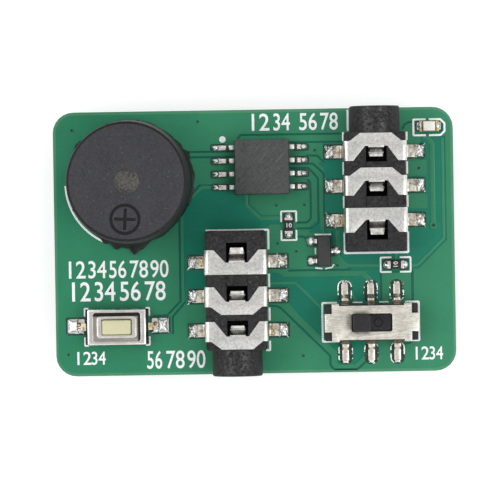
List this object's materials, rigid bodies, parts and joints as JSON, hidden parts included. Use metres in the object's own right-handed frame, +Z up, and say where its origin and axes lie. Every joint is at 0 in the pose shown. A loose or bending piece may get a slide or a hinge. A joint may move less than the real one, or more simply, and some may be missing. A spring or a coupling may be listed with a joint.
{
  "type": "morse code practice oscillator",
  "caption": "Small circuit board that beeps when a morse key in a 3.5 mm jack closes, with a buzzer, push button, slide switch and coin cell.",
  "frame": {"origin": "on the standing plane, under the middle of the board's outline with both jack noses", "axes": "+X along the board towards the slide switch, +Y towards the edge that the output jack looks out of, +Z up through the component side"},
  "size_m": [0.0384, 0.0256, 0.0147],
  "materials": {
    "solder_mask": "satin",
    "black_moulding": "matte",
    "black_resin": "satin",
    "chip_moulding": "matte",
    "phenolic": "matte",
    "ferrite": "matte",
    "magnet_wire": "gloss",
    "soft_iron": "satin",
    "diaphragm_steel": "matte",
    "nickel": "satin",
    "tin": "satin",
    "spring_steel": "satin",
    "cream_plastic": "satin",
    "resistor_ceramic": "satin",
    "led_laminate": "satin",
    "led_lens": "gloss",
    "gold_plate": "satin",
    "cell_steel": "polished"
  },
  "bodies": {
    "board_assembly": {"buzzer_base": "phenolic", "buzzer_case": "black_moulding", "buzzer_coil": "magnet_wire", "buzzer_core": "soft_iron", "buzzer_diaphragm": "diaphragm_steel", "buzzer_magnet": "ferrite", "buzzer_pin_negative": "tin", "buzzer_pin_positive": "tin", "buzzer_resin": "black_resin", "cell_retainer": "spring_steel", "chip_body": "chip_moulding", "chip_lead_1": "tin", "chip_lead_2": "tin", "chip_lead_3": "tin", "chip_lead_4": "tin", "chip_lead_5": "tin", "chip_lead_6": "tin", "chip_lead_7": "tin", "chip_lead_8": "tin", "circuit_board": "solder_mask", "led_base": "led_laminate", "led_left_terminal": "gold_plate", "led_lens": "led_lens", "led_right_terminal": "gold_plate", "output_jack_body": "black_moulding", "output_jack_ring_contact": "nickel", "output_jack_sleeve_contact": "nickel", "output_jack_tip_contact": "nickel", "paddle_jack_body": "black_moulding", "paddle_jack_ring_contact": "nickel", "paddle_jack_sleeve_contact": "nickel", "paddle_jack_tip_contact": "nickel", "resistor_1_body": "resistor_ceramic", "resistor_1_first_cap": "tin", "resistor_1_second_cap": "tin", "resistor_2_body": "resistor_ceramic", "resistor_2_first_cap": "tin", "resistor_2_second_cap": "tin", "slide_switch_back_left_pin": "tin", "slide_switch_back_middle_pin": "tin", "slide_switch_back_right_pin": "tin", "slide_switch_base": "black_moulding", "slide_switch_cover": "nickel", "slide_switch_front_left_pin": "tin", "slide_switch_front_middle_pin": "tin", "slide_switch_front_right_pin": "tin", "tact_switch_base": "black_moulding", "tact_switch_cover": "nickel", "tact_switch_dome": "spring_steel", "tact_switch_left_pin": "tin", "tact_switch_right_pin": "tin", "transistor_base_lead": "tin", "transistor_body": "chip_moulding", "transistor_collector_lead": "tin", "transistor_emitter_lead": "tin"},
    "slide_knob": {"slide_switch_slider": "black_moulding", "slide_switch_front_bridge": "spring_steel", "slide_switch_back_bridge": "spring_steel"},
    "push_button": {"tact_switch_button": "cream_plastic"},
    "loose_cell": {"coin_cell": "cell_steel"}
  },
  "joints": [
    {"name": "slide_switch_travel", "type": "slide", "parent": "board_assembly", "child": "slide_knob", "axis": [1, 0, 0], "range_m": [0, 0.002]},
    {"name": "push_button_press", "type": "slide", "parent": "board_assembly", "child": "push_button", "axis": [0, 0, -1], "range_m": [0, 0.00025], "stiffness_N_per_m": 4000, "deforming": ["tact_switch_dome"]},
    {"name": "coin_cell_removal", "type": "slide", "parent": "board_assembly", "child": "loose_cell", "axis": [0, -1, 0], "range_m": [0, 0.023]}
  ]
}
